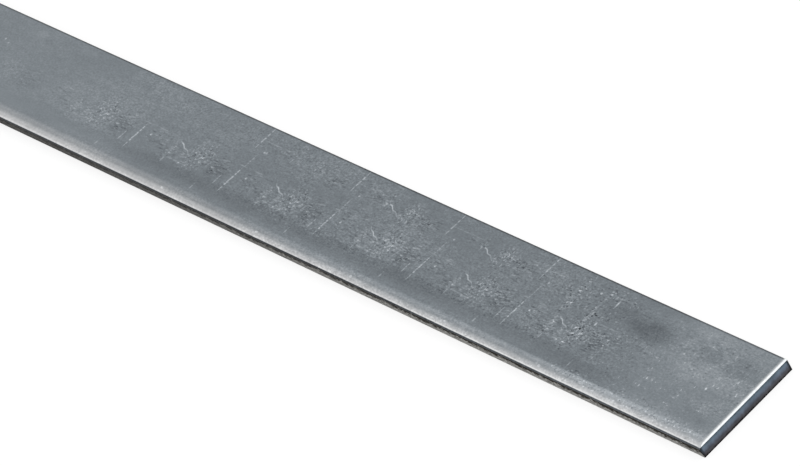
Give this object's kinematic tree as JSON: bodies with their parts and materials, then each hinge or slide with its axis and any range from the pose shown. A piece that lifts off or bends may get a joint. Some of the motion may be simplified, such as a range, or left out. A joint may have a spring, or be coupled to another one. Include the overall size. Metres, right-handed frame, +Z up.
{
  "type": "steel flat bar",
  "caption": "Straight solid flat bar of plain steel with sheared edges and square cut ends, stock for brackets, straps, braces and frames.",
  "frame": {"origin": "middle of the underside: halfway along the bar and halfway across it, on the plane that it lies on", "axes": "+X along the bar, +Y across it towards the edge with the tight roll, +Z up through its thickness towards the face that rolls over into the edges"},
  "size_m": [0.3048, 0.0254, 0.0032],
  "materials": {
    "mill_steel": "plain mill-finish low-carbon steel, satin, blue-grey, with light handling marks"
  },
  "bodies": {
    "root": {"flat_bar": "mill_steel"}
  },
  "joints": []
}
